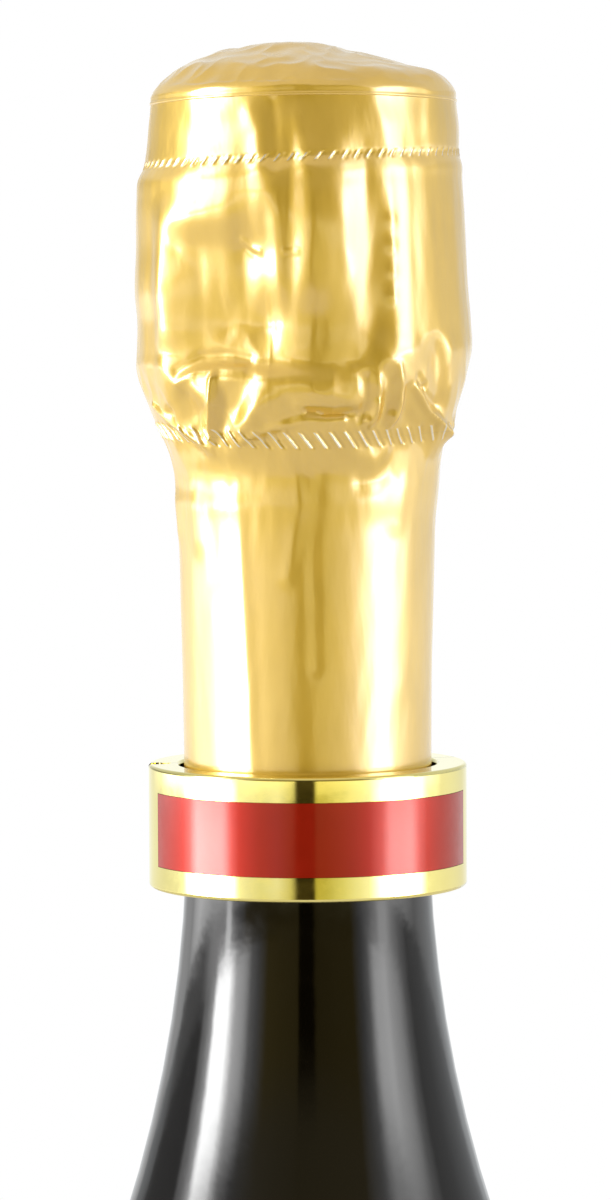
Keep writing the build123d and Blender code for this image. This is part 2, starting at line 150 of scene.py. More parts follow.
# Upright flutes of the tear band: offsets in millimetres at these azimuths, by height
FLUTE_AZ = (-90, -62, -57, -55, -52, -49, -41, -33, -28, -24, -20, -16, -12, -9, -5, -2, 1, 4, 8, 13, 18, 22, 25,
            28, 31, 34, 38, 41, 46, 53, 60, 66, 72, 90)
FLUTES = {
    309.0: (0, 0, 0, 0, 0, 0, 0, -.03, -.05, -.05, 0, .15, .25, .2, .1, .4, .65, .65, .5, .35, .05, -.1, 0,
            0, .05, .05, .1, 0, 0, -.03, 0, .05, 0, 0),
    306.5: (0, 0, 0, 0, 0, 0, -.03, -.08, -.12, -.15, -.08, .2, .4, .35, .15, .5, .85, .85, .75, .5, .1, -.15, 0,
            .1, .12, .05, .15, .05, 0, -.04, 0, .07, 0, 0),
    302.0: (0, -.03, 0, .08, -.05, -.15, -.25, -.38, -.38, -.55, -.45, 0, .3, .25, 0, .45, .9, .92, .85, .6, .05,
            -.25, -.22, 0, .12, .05, .12, 0, 0, -.06, 0, .1, 0, 0),
    299.0: (0, -.05, .08, .12, -.3, -.7, -1.3, -1.45, -1.5, -1.75, -1.4, -.8, -.3, -.3, -.4, .15, .68, .7, .65, .45,
            -.08, -.38, -.38, -.1, .1, .05, .12, 0, 0, -.06, 0, .1, -.02, 0),
    295.0: (0, -.05, .1, .14, -.4, -.85, -1.8, -2.1, -2.2, -2.35, -2.0, -1.4, -.9, -.8, -.8, -.3, .1, .15, .1, -.1,
            -.4, -.6, -.5, -.2, .08, .05, .12, 0, 0, -.06, 0, .1, -.02, 0),
    290.6: (0, -.05, .1, .14, -.4, -.9, -1.95, -2.55, -2.7, -2.7, -2.6, -2.45, -2.1, -1.8, -1.4, -1.05, -.8,
            -.68, -.6, -.6, -.65, -.75, -.7, -.35, 0, .05, .12, 0, 0, -.06, 0, .1, -.02, 0),
    287.5: (0, -.03, .06, .05, -.4, -.9, -1.95, -2.5, -2.65, -2.65, -2.6, -2.45, -2.2, -1.9, -1.5, -1.2, -.98,
            -.88, -.8, -.8, -.85, -.85, -.62, -.1, .12, .08, .1, 0, 0, 0, 0, .05, 0, 0),
}


BACK_SHARE, BACK_TURN = 0.8, 12  # how strong the copy at the back is, and how far it is turned, in columns


def flute_field():
    """The flutes of the front, and a milder turned copy of them at the back."""
    heights = sorted(FLUTES)
    rows = np.array([np.interp(map_az, FLUTE_AZ, FLUTES[h]) for h in heights])
    rows = np.vstack([0 * rows[:1], rows, 0 * rows[:1]])
    heights = [276.0, *heights, 314.0]
    front = np.array([hermite(map_z, heights, rows[:, k]) for k in range(COLUMNS)]).T
    # The flat panel at the left is turned a little towards the front
    turn = window(map_az, (-65, -50), (-14, -9)) * (-29 - map_az)
    front += 0.030 * np.outer(window(map_z, (286.5, 290.0), (301.5, 305.5)), turn)
    front[:, np.abs(map_az) > 90] = 0
    return front + BACK_SHARE * np.roll(front[:, ::-1], COLUMNS // 2 + BACK_TURN, 1)


# Folds of the crumpled foot of the tear band: chains of (azimuth, height, offset)
FOLDS = [
    [(-70, 280.6, 0.10), (-60, 281.0, 0.35), (-54.5, 281.7, 0.50), (-46, 284.0, 0.25), (-36, 285.1, 0.1),
     (-25.5, 285.2, 0.0), (-15.5, 285.6, 0.0), (-5, 285.3, -0.1), (5, 285.0, -0.1), (14, 284.7, -0.1),
     (22, 284.4, -0.1)],
    [(-36, 285.1, 0.1), (-35.2, 283.5, 0.35), (-36.5, 281.0, 0.95), (-38.5, 279.0, 1.05), (-40, 277.2, 0.50)],
    [(-48, 282.6, -0.35), (-45.5, 280.4, -0.50), (-45, 278.4, -0.25)],
    [(-31, 283.0, -0.25), (-33, 280.5, -0.28), (-35.5, 278.3, -0.05)],
    [(-13, 285.2, 0.0), (-14.5, 283.2, 0.50), (-18, 281.2, 1.15), (-22.5, 279.3, 1.25), (-27, 277.6, 0.50)],
    [(-20.5, 284.0, -0.30), (-25, 281.6, -0.20), (-30, 279.0, -0.02)],
    [(-8, 282.4, 0.45), (4, 282.3, 0.70), (18, 281.9, 0.55)],
    [(-5, 280.8, 0.32), (2, 280.4, 0.10), (9, 280.3, 0.02), (17.5, 280.3, 0.10)],
    [(-15, 277.7, 0.05), (-6, 278.4, 0.30), (2, 278.9, 0.38), (12, 279.0, 0.38), (20, 278.5, 0.22)],
    [(24.6, 288.5, 0.05), (25.2, 285.5, 0.50), (25.8, 282.5, 1.05), (26.2, 280.6, 1.35), (25.6, 279.5, 1.30),
     (25.0, 278.5, 0.30)],
    [(22.6, 283.0, -0.05), (22.8, 280.8, -0.10)],
    [(28.9, 284.0, -0.16), (29.4, 281.6, -0.28), (29.2, 280.0, -0.15)],
    [(33.2, 286.5, 0.20), (34.8, 283.6, 0.70), (35.2, 281.4, 1.15), (33.6, 279.6, 1.25), (32.8, 278.6, 0.30)],
    [(38.0, 283.0, -0.08), (38.8, 280.8, -0.15), (37.6, 279.2, 0.0)],
    [(41, 283.9, 0.12), (46, 281.9, 0.50), (53, 280.0, 0.85), (61, 278.6, 1.05), (70, 277.6, 1.25)],
    [(44, 279.4, -0.15), (54, 278.1, -0.05)],
    [(-73, 281.2, 0.25), (-64, 280.0, 0.45), (-55, 278.6, 0.62), (-47, 277.2, 0.62), (-41, 276.4, 0.35)],
    [(-66, 282.3, -0.18), (-58, 280.4, -0.20)],
    [(-66, 278.2, -0.05), (-59, 277.2, -0.30), (-52, 276.4, -0.25)],
]
# The edge of the sheet round them, where the offset is 0: heights, and half its width and its spacing in degrees
EDGE_TOP, EDGE_FOOT, EDGE_SIDE, EDGE_STEP = 289.5, 274.8, 84.0, 8.0
TINY = 1e-6


def facets(chains):
    """A folded sheet: flat facets between the chains and its edge, as an offset over the map."""
    points, heights, edges = [], [], []

    def add(az, z, offset):
        points.append(Vector((az * MM_PER_DEGREE, z)))
        heights.append(offset)

    for chain in chains:
        first = len(points)
        for az, z, offset in chain:
            add(az, z, offset)
        edges += [(k, k + 1) for k in range(first, len(points) - 1)]
    for az in np.arange(-EDGE_SIDE, EDGE_SIDE + 0.1, EDGE_STEP):
        for z in (EDGE_TOP, EDGE_FOOT):
            add(az, z, 0.0)
    for z in np.arange(EDGE_FOOT, EDGE_TOP, 3.0)[1:]:
        for az in (-EDGE_SIDE, EDGE_SIDE):
            add(az, z, 0.0)
    verts, _, faces, origin, _, _ = delaunay_2d_cdt(points, edges, [], 0, 1e-4)
    value = [np.mean([heights[k] for k in o]) if o else None for o in origin]
    for k, v in enumerate(value):
        if v is None:  # a crossing of two chains
            value[k] = heights[int(np.argmin([(p - verts[k]).length for p in points]))]
    out = np.zeros_like(AZ)
    x, y = map_az * MM_PER_DEGREE, map_z
    for face in faces:
        (x0, y0), (x1, y1), (x2, y2) = [verts[k] for k in face]
        area = (x1 - x0) * (y2 - y0) - (x2 - x0) * (y1 - y0)
        if abs(area) < 1e-9:
            continue
        columns = np.nonzero((x >= min(x0, x1, x2) - TINY) & (x <= max(x0, x1, x2) + TINY))[0]
        rows = np.nonzero((y >= min(y0, y1, y2) - TINY) & (y <= max(y0, y1, y2) + TINY))[0]
        if not len(columns) or not len(rows):
            continue
        gx, gy = np.meshgrid(x[columns], y[rows])
        a = ((x1 - gx) * (y2 - gy) - (x2 - gx) * (y1 - gy)) / area
        b = ((x2 - gx) * (y0 - gy) - (x0 - gx) * (y2 - gy)) / area
        c = 1 - a - b
        inside = (a >= -TINY) & (b >= -TINY) & (c >= -TINY)
        block = np.ix_(rows, columns)
        out[block] = np.where(inside, a * value[face[0]] + b * value[face[1]] + c * value[face[2]], out[block])
    return out


def back_folds():
    """Seeded folds for the half of the band that the front doesn't show."""
    draw = np.random.default_rng(21)
    chains = []
    for az in np.arange(-72, 73, 12.0):
        a = az + draw.uniform(-3, 3)
        lean = draw.uniform(-9, 9)
        high = draw.uniform(0.35, 1.0)
        chains.append([(a - 3, 285.4 + draw.uniform(-0.6, 0.4), 0.15), (a + lean * 0.3, 282.9, high * 0.6),
                       (a + lean * 0.7, 280.2, high), (a + lean, 277.7, high * 0.45)])
    chains += [[(az, 283.4, -0.2), (az + 2, 280.4, -0.28)] for az in np.arange(-66, 67, 12.0)]
    return chains


def segment_distance(az0, z0, az1, z1):
    """Share along a line on the foil, distance across it, and its length, in millimetres."""
    dx, dz = (az1 - az0) * MM_PER_DEGREE, z1 - z0
    length = math.hypot(dx, dz)
    px, pz = wrap(AZ - az0) * MM_PER_DEGREE, Z - z0
    along = (px * dx + pz * dz) / length
    across = (px * dz - pz * dx) / length
    return along / length, across, length


def crease(points, height, width, sharp=False):
    """A soft or sharp ridge (a valley, with a negative height) along a line of points."""
    out = np.zeros_like(AZ)
    for (az0, z0), (az1, z1) in zip(points, points[1:]):
        t, across, length = segment_distance(az0, z0, az1, z1)
        beyond = np.maximum(np.maximum(-t, t - 1), 0) * length
        distance = np.hypot(across, beyond)
        out = np.maximum(out, np.exp(-distance / width) if sharp else bump(distance, width))
    return height * out


def dashes(line, count, half_height, slant, depth):
    """A perforation: short slanted cuts, each with one raised lip; the foil's material paints them pale too, partly
    as bare metal and partly as a painted highlight.
    """
    radius = np.interp(Z, SIDE_TABLE[:, 0], SIDE_TABLE[:, 1:].mean(1))
    rise = Z - line(AZ)
    turn = (AZ / 360 - slant * rise / (2 * math.pi * radius)) * count
    across = (turn - np.round(turn)) / count * 2 * math.pi * radius
    inside = 1 - smooth(np.abs(rise), half_height - 0.15, half_height + 0.12)
    return inside * depth * (bump(across + 0.10, 0.20) - 0.9 * bump(across - 0.24, 0.20))


# Creases: points of azimuth and height, the ridge's height (negative for a valley), its width, and True if sharp
PANEL_CREASES = [
    ([(-23.5, 299.6), (-20.0, 298.6), (-16.5, 298.3)], 0.14, 0.30),
    ([(-22.5, 298.7), (-18.5, 297.9)], -0.12, 0.35),
    ([(-7.2, 298.3), (-2.6, 298.2)], 0.10, 0.25),
    ([(-14.4, 293.5), (-13.6, 288.0), (-13.2, 281.0)], 0.04, 0.22, True),
    ([(-25.0, 291.8), (-27.0, 289.6), (-31.5, 287.4)], 0.05, 0.8),
    ([(-24.0, 289.4), (-20.0, 287.6), (-17.5, 286.6)], 0.05, 0.6),
]
FOLD_CREASES = [
    ([(26.2, 281.6), (26.0, 280.0), (24.6, 279.1), (23.2, 279.6)], 0.20, 0.32),
    ([(33.2, 285.5), (35.0, 283.0), (35.4, 280.4), (33.2, 278.9)], 0.20, 0.42),
    ([(41.9, 283.0), (50.0, 280.7), (60.0, 279.0), (73.0, 277.3)], 0.40, 0.42),
    ([(43.0, 284.2), (48.0, 282.4), (56.0, 281.0)], -0.21, 0.50),
    ([(0.5, 280.6), (9.0, 280.3), (18.0, 280.5)], -0.31, 0.35),
    ([(-3.0, 281.4), (8.0, 281.2), (19.0, 281.3)], 0.14, 0.50),
    ([(-50.0, 285.0), (-42.0, 286.6), (-32.0, 286.9), (-22.0, 286.3)], -0.24, 0.60),
    ([(-50.0, 283.6), (-42.0, 284.9), (-34.0, 285.5), (-24.0, 285.3)], 0.20, 0.40),
    ([(-35.0, 284.6), (-36.6, 281.0), (-39.8, 277.3)], 0.34, 0.35),
    ([(-71.0, 280.9), (-58.0, 278.8), (-46.0, 277.0), (-41.0, 276.2)], 0.34, 0.45),
    ([(-64.0, 278.4), (-54.0, 277.0), (-46.0, 275.8)], -0.20, 0.50),
    ([(-26.0, 277.2), (-14.0, 278.6), (0.0, 279.6), (14.0, 279.6)], 0.22, 0.45),
]
SLEEVE_CREASES = [
    ([(17, 277.0), (22, 275.6), (29, 275.0), (34, 276.2)], 0.28, 1.2),
    ([(24, 272.6), (32, 272.9), (38, 275.2), (40, 277.6)], -0.20, 1.2),
    ([(44, 277.5), (46, 273.5), (43, 268.0)], 0.14, 1.6),
    ([(-36, 276.0), (-31.5, 272.0), (-29.5, 262.0), (-27, 250.0), (-26, 240.0)], 0.15, 1.1),
    ([(-66, 276.5), (-60, 272.5), (-57, 266.0)], 0.16, 1.6),
    ([(-51, 276.5), (-48, 270.0), (-45, 262.0)], -0.12, 1.8),
    ([(-84, 273.5), (-80, 267.0)], 0.16, 1.5),
    ([(58, 277.0), (55, 270.0), (52, 262.0), (50, 250.0)], 0.10, 2.2),
    ([(-6, 276.0), (-3, 270.0), (-9, 262.0)], 0.10, 1.0),
    ([(6, 274.0), (3, 266.0), (4, 252.0)], -0.10, 1.1),
]
SKIRT_CREASES = [
    ([(-47.0, 314.6), (-40.0, 312.0), (-37.0, 309.0)], 0.10, 1.3),
    ([(-19.5, 314.0), (-16.5, 311.5), (-15.5, 308.0)], 0.27, 1.2),
    ([(-11.6, 314.6), (-10.6, 311.0), (-10.4, 308.0)], -0.14, 0.8),
    ([(-2.5, 313.2), (-0.5, 310.5), (0.0, 308.0)], 0.21, 1.0),
    ([(27.0, 314.8), (31.0, 312.0), (32.0, 309.0)], 0.10, 1.4),
    ([(49.0, 314.8), (47.0, 311.5), (48.0, 309.0)], -0.09, 1.2),
]
# Bumps down the side of the right flute: height and offset
STITCH_AZ, STITCHES = 31.0, ((301.8, 0.13), (299.0, 0.16), (296.2, 0.12), (293.4, 0.15))
# The oval dent of the twisted loop: its middle, and its lean in degrees per millimetre
DENT_AZ, DENT_HEIGHT, DENT_LEAN = 51.5, 284.2, -0.75


def build_foil_map():
    """The foil's outer radius over the map."""
    mean = hermite(map_z, SIDE_TABLE[:, 0], SIDE_TABLE[:, 1:].mean(1))[:, None]
    lean = hermite(map_z, SIDE_TABLE[:, 0], (SIDE_TABLE[:, 2] - SIDE_TABLE[:, 1]) / 2)[:, None]
    base = blur(mean + lean * np.sin(np.radians(AZ)), 3)
    rise = Z - upper_line(AZ)
    # Flutes fade out above the upper perforation and into the folds below
    detail = blur(flute_field() * (1 - smooth(rise, 0.5, 5.0)) * (0.45 + 0.55 * smooth(Z, 284.0, 286.3)), 9)
    # Rounded shoulders of the panels under the upper perforation, which lies in a groove
    detail += 0.16 * bump(rise + 1.5, 0.9) * (1 - 0.6 * bump(wrap(AZ - 30), 8))
    detail -= 0.12 * bump(rise, 0.55)
    for row in PANEL_CREASES:
        detail += crease(*row)
    for height, offset in STITCHES:
        detail += offset * bump(wrap(AZ - STITCH_AZ) * MM_PER_DEGREE, 0.7) * bump(Z - height, 0.9)
    # Folds at the foot of the band, front and back
    folds = facets(FOLDS) + np.roll(facets(back_folds()), COLUMNS // 2, 1)
    detail += blur(folds, 14)
    for row in FOLD_CREASES:
        detail += crease(*row)
    # The loop's dent, with a small pit at its left
    pz = Z - DENT_HEIGHT
    px = wrap(AZ - DENT_AZ - pz * DENT_LEAN) * MM_PER_DEGREE
    across = np.clip(np.minimum((px + 2.2) / 3.2, (2.3 - px) / 1.3), 0, 1)
    detail -= 1.0 * blur(across * (1 - smooth(np.abs(pz), 2.4, 5.4)), 18)
    detail -= 0.35 * bump(wrap(AZ - 46.8) * MM_PER_DEGREE, 0.42) * bump(Z - 283.3, 0.45)
    # Pleats at the top of the sleeve
    for row in SLEEVE_CREASES:
        detail += crease(*row)
    # The upper skirt draws in towards the seam
    detail -= 0.20 * smooth(Z, 311.4, 315.8) * (0.75 + 0.25 * np.cos(np.radians(2 * AZ + 50)))
    for row in SKIRT_CREASES:
        detail += crease(*row)
    # Fine unevenness, quieter on the sleeve, and ridges among the folds
    quiet = 1 - 0.55 * smooth(-Z, -274.0, -262.0)
    detail += 0.045 * quiet * waves(40, (3, 20), (0.0, 0.035), 3)
    detail += 0.010 * quiet * waves(60, (14, 60), (0.02, 0.14), 4)
    detail += 0.0018 * waves(80, (60, 200), (0.05, 0.8), 5)
    detail -= 0.10 * bump(Z - 281.0, 6.0) * np.abs(waves(30, (6, 26), (0.03, 0.16), 9))
    # The sleeve lies flat on the glass towards the collar
    detail *= smooth(Z, 233.0, 246.0)
    radius = base + detail
    radius += dashes(upper_line, UPPER_CUTS, UPPER_REACH, UPPER_SLANT, 0.12)
    radius += dashes(lower_line, LOWER_CUTS, LOWER_REACH, LOWER_SLANT, 0.16)
    return radius


foil_radius = build_foil_map()


def foil_at(z):
    """The foil's outer radius at any heights, one for each column of the map."""
    row = np.clip((z - MAP_LOW) / MAP_STEP, 0, len(map_z) - 1.001)
    low = row.astype(int)
    share = row - low
    column = np.broadcast_to(np.arange(COLUMNS), z.shape)
    return foil_radius[low, column] * (1 - share) + foil_radius[low + 1, column] * share


# ---------------------------------------------------------------- mesh helpers
SHARP_ANGLE = 48  # degrees


def make_mesh(name, verts, faces, look):
    """An object from vertices in millimetres."""
    mesh = bpy.data.meshes.new(name)
    mesh.from_pydata([tuple(v) for v in np.asarray(verts) * MM], [], [tuple(f) for f in faces])
    mesh.update()
    mesh.shade_smooth()
    mesh.set_sharp_from_angle(angle=math.radians(SHARP_ANGLE))
    piece = bpy.data.objects.new(name, mesh)
    bpy.context.scene.collection.objects.link(piece)
    mesh.materials.append(look)
    return piece


def at(az, r, z):
    """Points at azimuths, radii and heights."""
    a = np.radians(az)
    return np.stack([r * np.sin(a), -r * np.cos(a), np.broadcast_to(z, np.shape(a + r))], -1)


def window_min(field, half):
    """The least value within a few rows and columns."""
    out = field.copy()
    for _ in range(half):
        out = np.minimum(out, np.minimum(np.roll(out, 1, 1), np.roll(out, -1, 1)))
        up, down = np.vstack([out[:1], out[:-1]]), np.vstack([out[1:], out[-1:]])
        out = np.minimum(out, np.minimum(up, down))
    return out


STRIDE = 4  # rows and columns of a foil's outer face for each one of its inner face


def foil_shell(name, r, z, wall, look, pole=None):
    """A closed thin wall: a dense outer face and a coarser inner one, joined at both rims.

    For the top disc, pole is the height at which the outer face closes over the axis.
    """
    rows, n = r.shape
    pick = [*range(0, rows - 1, STRIDE), rows - 1]
    m = n // STRIDE
    coarse = np.ix_(pick, range(0, n, STRIDE))
    inner_r = (window_min(r, STRIDE + 1) - wall)[coarse]
    inner_z = (z if pole is None else z - wall)[coarse]
    outer = at(map_az[None, :], r, z).reshape(-1, 3)
    inner = at(np.broadcast_to(map_az[::STRIDE], inner_r.shape), inner_r, inner_z).reshape(-1, 3)
    verts = [outer, inner]
    faces = []
    j = np.arange(n)
    for i in range(rows - 1):
        a, b = i * n + j, i * n + (j + 1) % n
        faces += np.stack([a, a + n, b + n, b], 1).tolist()
    base = rows * n
    j = np.arange(m)
    for i in range(len(pick) - 1):
        a, b = base + i * m + j, base + i * m + (j + 1) % m
        faces += np.stack([a, b, b + m, a + m], 1).tolist()

    def rim(first, inner_first, flip):
        half = STRIDE // 2
        for q in range(m):
            a0, a1 = inner_first + q, inner_first + (q + 1) % m
            o = [first + (q * STRIDE + k) % n for k in range(STRIDE + 1)]
            tris = [(o[k], o[k + 1], a0) for k in range(half)]
            tris += [(a0, o[half], a1)]
            tris += [(o[k], o[k + 1], a1) for k in range(half, STRIDE)]
            faces.extend(t[::-1] if flip else t for t in tris)

    rim((rows - 1) * n, base + (len(pick) - 1) * m, True)
    if pole is None:
        rim(0, base, False)
    else:
        top = base + len(inner)
        verts.append(np.array([[0, 0, pole], [0, 0, pole - wall]]))
        faces += [(top, k, (k + 1) % n) for k in range(n)]
        faces += [(top + 1, base + (k + 1) % m, base + k) for k in range(m)]
    return make_mesh(name, np.vstack(verts), faces, look)


def spaced(low, high, fine_at, fine, coarse, reach):
    """Heights from high down to low, closer together near some of them."""
    out, z = [high], high
    while z > low:
        near = min(abs(z - f) for f in fine_at)
        z -= fine if near < reach else coarse
        out.append(max(z, low))
    if out[-2] - out[-1] < fine * 0.5:
        out.pop(-2)
    return np.array(out)


# ---------------------------------------------------------------- materials
class Tree:
    """The nodes of a material or world. A node's inputs are values or the outputs of other nodes."""

    def __init__(self, owner):
        owner.use_nodes = True
        self.owner, self.nodes, self.links = owner, owner.node_tree.nodes, owner.node_tree.links

    def feed(self, node, inputs):
        for key, value in inputs.items():
            if isinstance(value, bpy.types.NodeSocket):
                self.links.new(value, node.inputs[key])
            else:
                node.inputs[key].default_value = value

    def put(self, kind, inputs, **settings):
        node = self.nodes.new(kind)
        for key, value in settings.items():
            setattr(node, key, value)
        self.feed(node, inputs)
        return node

    def place(self, stretch=(1, 1, 1)):
        """Object coordinates, stretched along the axes."""
        where = self.nodes.new("ShaderNodeTexCoord").outputs["Object"]
        return self.put("ShaderNodeMapping", {"Vector": where, "Scale": stretch}).outputs["Vector"]

    def axes(self, space="Object"):
        """The x, y and z of a texture coordinate."""
        where = self.nodes.new("ShaderNodeTexCoord").outputs[space]
        split = self.put("ShaderNodeSeparateXYZ", {0: where})
        return [split.outputs[axis] for axis in "XYZ"]

    def noise(self, scale, detail=3.0, rough=0.55, stretch=(1, 1, 1)):
        inputs = {"Vector": self.place(stretch), "Scale": scale, "Detail": detail, "Roughness": rough}
        return self.put("ShaderNodeTexNoise", inputs).outputs["Fac"]

    def ramp(self, value, *stops):
        """A colour ramp from stops of (position, colour)."""
        node = self.put("ShaderNodeValToRGB", {"Fac": value})
        elements = node.color_ramp.elements
        while len(elements) < len(stops):
            elements.new(0.5)
        for k, (position, colour) in enumerate(stops):
            elements[k].position = position
            elements[k].color = (*colour, 1)
        return node.outputs["Color"]

    def fit(self, value, low, high, out_low, out_high, kind="LINEAR"):
        """A value, mapped from one range to another."""
        inputs = {"Value": value, "From Min": low, "From Max": high, "To Min": out_low, "To Max": out_high}
        return self.put("ShaderNodeMapRange", inputs, interpolation_type=kind).outputs["Result"]

    def maths(self, kind, *values):
        return self.put("ShaderNodeMath", dict(enumerate(values)), operation=kind).outputs[0]

    def mixed(self, factor, first, second, blend="MIX"):
        """A mix of two colours."""
        inputs = {"Factor": factor, "A": first, "B": second}
        return self.put("ShaderNodeMix", inputs, data_type="RGBA", blend_type=blend).outputs["Result"]

    def bumped(self, *layers):
        """A normal from bump layers of (height, distance in metres, strength)."""
        normal = {}
        for height, distance, strength in layers:
            inputs = {"Distance": distance, "Strength": strength, "Height": height, **normal}
            normal = {"Normal": self.put("ShaderNodeBump", inputs).outputs["Normal"]}
        return normal["Normal"]

    def shade(self, **inputs):
        """Feeds the Principled shader; an underscore stands for a space. Returns the material."""
        self.feed(self.nodes["Principled BSDF"], {key.replace("_", " "): value for key, value in inputs.items()})
        return self.owner


def new_tree(name):
    return Tree(bpy.data.materials.new(name))


def foil_material():
    """Satin gold foil with a clear coat; the cuts of the perforations are painted pale, partly as bare metal and
    partly as a painted highlight.
    """
    t = new_tree("foil_gold")
    grain = t.noise(2600, 2.0, stretch=(1, 1, 0.22))
    cloud = t.noise(170, stretch=(1, 1, 0.5))
    gold = t.ramp(cloud, (0.3, (0.80, 0.520, 0.056)), (0.55, (0.86, 0.565, 0.068)), (0.75, (0.91, 0.605, 0.080)))
    x, y, z = t.axes()
    turn = t.maths("ARCTAN2", x, t.maths("MULTIPLY", y, -1.0))
    sine = t.maths("SINE", turn)
    height = t.maths("MULTIPLY", z, 1 / MM)
    upper_level = t.maths("MULTIPLY_ADD", sine, UPPER_RISE, UPPER_HEIGHT)
    lower_level = t.maths("MULTIPLY_ADD", t.maths("MULTIPLY", sine, sine), LOWER_RISE, LOWER_HEIGHT)
    # The same cuts as in dashes(), at the mean radius of each perforation, painted pale: partly bare metal, partly a
    # painted highlight
    marks = []
    for level, count, reach, slant, radius in (
        (upper_level, UPPER_CUTS, UPPER_REACH, UPPER_SLANT, 18.0),
        (lower_level, LOWER_CUTS, LOWER_REACH, LOWER_SLANT, 16.4),
    ):
        rise = t.maths("SUBTRACT", height, level)
        along = t.maths("SUBTRACT", t.maths("MULTIPLY", turn, count / (2 * math.pi)),
                        t.maths("MULTIPLY", rise, slant * count / (2 * math.pi * radius)))
        across = t.maths("PINGPONG", t.maths("ADD", along, 0.07), 0.5)
        line = t.fit(across, 0.045, 0.10, 1.0, 0.0)
        ends = t.fit(t.maths("ABSOLUTE", rise), reach - 0.1, reach + 0.05, 1.0, 0.0)
        marks.append(t.maths("MULTIPLY", line, ends))
    # The cuts' pale colour is partly bare metal and partly a painted highlight of the perforations
    cut_and_glint = t.maths("MULTIPLY", t.maths("ADD", *marks), 0.8)
    return t.shade(Base_Color=t.mixed(cut_and_glint, gold, (0.95, 0.92, 0.82, 1)), Roughness=t.fit(grain, 0.3, 0.7, 0.33, 0.41),
                   Metallic=0.50, Coat_Weight=1.0, Coat_Roughness=0.18, Coat_IOR=2.4,
                   Normal=t.bumped((grain, 0.00002, 0.35), (cloud, 0.0003, 0.06)))


def polished_material(name, colour, dark, rough):
    t = new_tree(name)
    cloud = t.noise(90)
    return t.shade(Base_Color=t.ramp(cloud, (0.3, dark), (0.7, colour)), Metallic=1.0,
                   Roughness=t.fit(t.noise(900, 2.0), 0.35, 0.7, rough, rough * 1.9),
                   Normal=t.bumped((cloud, 0.0002, 0.05)))


def glass_material():
    """Glass so dark that only its surface shows, with the ripple of a mould."""
    t = new_tree("dark_glass")
    peel = t.noise(420, 2.0, stretch=(1, 1, 0.8))
    cloud = t.noise(25, 2.0, stretch=(1, 1, 0.4))
    return t.shade(Base_Color=t.ramp(cloud, (0.3, (0.0007, 0.0004, 0.0002)), (0.7, (0.0013, 0.0008, 0.0003))),
                   Roughness=t.fit(peel, 0.3, 0.7, 0.07, 0.115), IOR=1.60, Normal=t.bumped((peel, 0.00005, 0.18)))


def enamel_material():
    t = new_tree("red_enamel")
    cloud = t.noise(60)
    return t.shade(Base_Color=t.ramp(cloud, (0.3, (0.40, 0.0110, 0.0008)), (0.7, (0.46, 0.0160, 0.0014))),
                   Roughness=t.fit(t.noise(700, 2.0), 0.3, 0.7, 0.36, 0.44), Metallic=0.80,
                   Coat_Weight=1.0, Coat_Roughness=0.08, Coat_IOR=1.37, Normal=t.bumped((cloud, 0.0001, 0.05)))


def wire_material():
    t = new_tree("galvanised_wire")
    cloud = t.noise(500)
    return t.shade(Base_Color=t.ramp(cloud, (0.3, (0.36, 0.36, 0.37)), (0.7, (0.58, 0.58, 0.59))),
                   Roughness=t.fit(cloud, 0.3, 0.7, 0.30, 0.45), Metallic=1.0,
                   Normal=t.bumped((cloud, 0.00005, 0.3)))


def cork_material(name, light, dark, scale):
    """Cork of grains in several tones, with dark pores."""
    t = new_tree(name)
    grains = t.put("ShaderNodeTexVoronoi", {"Vector": t.place(), "Scale": scale})
    tones = t.put("ShaderNodeSeparateColor", {"Color": grains.outputs["Color"]})
    fine = t.noise(scale * 3, 4.0, 0.7)
    pores = t.noise(scale * 1.1, 5.0, 0.8, (1, 1, 0.35))
    tone = t.ramp(tones.outputs["Red"], (0.0, dark), (0.45, light), (1.0, [c * 1.12 for c in light]))
    spots = t.ramp(pores, (0.34, [c * 0.35 for c in dark]), (0.43, (1, 1, 1)))
    return t.shade(Base_Color=t.mixed(0.85, tone, spots, "MULTIPLY"), Roughness=t.fit(fine, 0.3, 0.7, 0.75, 0.95),
                   Normal=t.bumped((pores, 0.0006, 0.5), (fine, 0.0002, 0.4)))


LABEL_RADIUS, LABEL_FOOT = 45.3, 34.0


def paper_material(name, side, half_width, top):
    """Blank ivory paper with a plain gilt rule along its edges; side is 1 at the front, -1 at the back."""
    t = new_tree(name)
    fibre = t.noise(1500, 4.0, 0.7)
    paper = t.ramp(t.noise(35), (0.3, (0.56, 0.52, 0.42)), (0.7, (0.61, 0.57, 0.47)))
    x, y, z = t.axes()
    turn = t.maths("ARCTAN2", t.maths("MULTIPLY", x, side), t.maths("MULTIPLY", y, -side))
    from_side = t.maths("SUBTRACT", half_width, t.maths("MULTIPLY", t.maths("ABSOLUTE", turn), LABEL_RADIUS))
    from_middle = t.maths("SUBTRACT", t.maths("MULTIPLY", z, 1 / MM), (top + LABEL_FOOT) / 2)
    from_end = t.maths("SUBTRACT", (top - LABEL_FOOT) / 2, t.maths("ABSOLUTE", from_middle))
    inset = t.maths("MINIMUM", from_side, from_end)
    rule = t.maths("MAXIMUM", t.maths("COMPARE", inset, 3.0, 0.42), t.maths("COMPARE", inset, 4.3, 0.14))
    return t.shade(Base_Color=t.mixed(rule, paper, (0.46, 0.31, 0.07, 1)), Metallic=t.maths("MULTIPLY", rule, 0.8),
                   Roughness=t.fit(fibre, 0.3, 0.7, 0.55, 0.75),
                   Normal=t.bumped((fibre, 0.00004, 0.5), (rule, 0.00004, 0.6)))


def wine_material():
    t = new_tree("wine_gold")
    cloud = t.noise(20, 2.0)
    return t.shade(Base_Color=t.ramp(cloud, (0.3, (0.60, 0.44, 0.12)), (0.7, (0.66, 0.50, 0.16))),
                   Roughness=t.fit(cloud, 0.3, 0.7, 0.04, 0.08))


